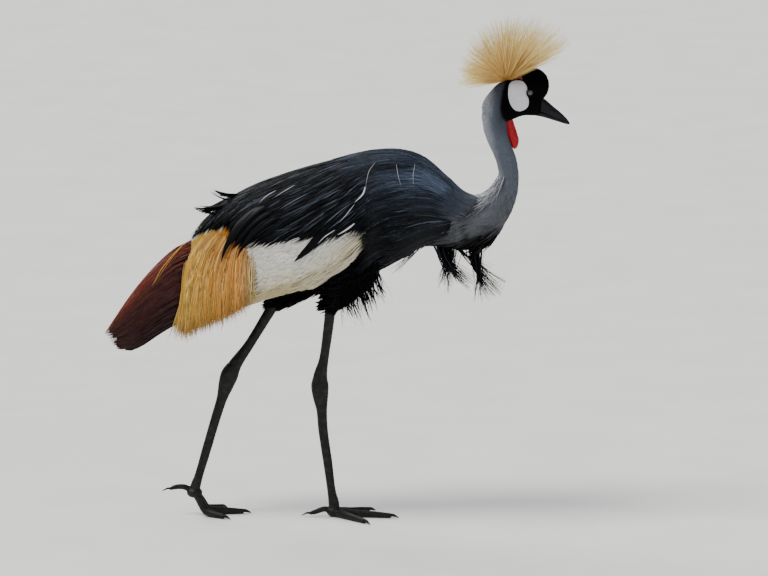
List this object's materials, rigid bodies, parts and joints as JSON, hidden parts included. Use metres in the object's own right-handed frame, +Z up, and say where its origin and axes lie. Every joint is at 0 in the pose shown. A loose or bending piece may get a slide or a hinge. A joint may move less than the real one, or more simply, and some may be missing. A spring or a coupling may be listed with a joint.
{
  "type": "grey crowned crane model",
  "caption": "Life-size museum model of a grey crowned crane, walking, with golden crest, pale cheek patches, red wattle, white wing coverts, golden plumes and chestnut wing feathers",
  "frame": {"origin": "On the floor, at the middle of the flat under the pad of the right foot, the leading foot that carries the bird", "axes": "+X is the way the bird faces, along its body; +Y is its left; +Z is up, from the soles to the top of the crest"},
  "size_m": [0.7607, 0.1986, 0.8392],
  "materials": {
    "bill": "satin horn black",
    "black_feathers": "silky black feathers",
    "cheek_skin": "bare pale skin",
    "chestnut_feathers": "smooth chestnut feathers",
    "claw": "satin horn black",
    "crest_bristles": "golden bristles",
    "eye": "clear-coated glass eye",
    "golden_feathers": "loose golden plumes",
    "leg_skin": "scuted black-grey skin",
    "mantle_feathers": "long slate plumes",
    "neck_feathers": "short grey feathers",
    "wattle_skin": "bare crimson skin",
    "white_feathers": "smooth white feathers"
  },
  "bodies": {
    "root": {"bill_lower": "bill", "bill_upper": "bill", "cheek_left": "cheek_skin", "cheek_right": "cheek_skin", "claw_left_hallux": "claw", "claw_left_inner": "claw", "claw_left_middle": "claw", "claw_left_outer": "claw", "claw_right_hallux": "claw", "claw_right_inner": "claw", "claw_right_middle": "claw", "claw_right_outer": "claw", "crest": "crest_bristles", "eye_left": "eye", "eye_right": "eye", "head": "black_feathers", "mantle": "mantle_feathers", "neck_lower": "neck_feathers", "neck_upper": "neck_feathers", "scapulars": "black_feathers", "shank_left": "leg_skin", "shank_right": "leg_skin", "tail": "black_feathers", "tarsus_left": "leg_skin", "tarsus_right": "leg_skin", "thigh_left": "black_feathers", "thigh_right": "black_feathers", "toe_left_hallux": "leg_skin", "toe_left_inner": "leg_skin", "toe_left_middle": "leg_skin", "toe_left_outer": "leg_skin", "toe_right_hallux": "leg_skin", "toe_right_inner": "leg_skin", "toe_right_middle": "leg_skin", "toe_right_outer": "leg_skin", "torso": "black_feathers", "wattle": "wattle_skin", "wing_left_coverts": "white_feathers", "wing_left_plumes": "golden_feathers", "wing_left_primaries": "black_feathers", "wing_left_secondaries": "chestnut_feathers", "wing_right_coverts": "white_feathers", "wing_right_plumes": "golden_feathers", "wing_right_primaries": "black_feathers", "wing_right_secondaries": "chestnut_feathers"}
  },
  "joints": []
}
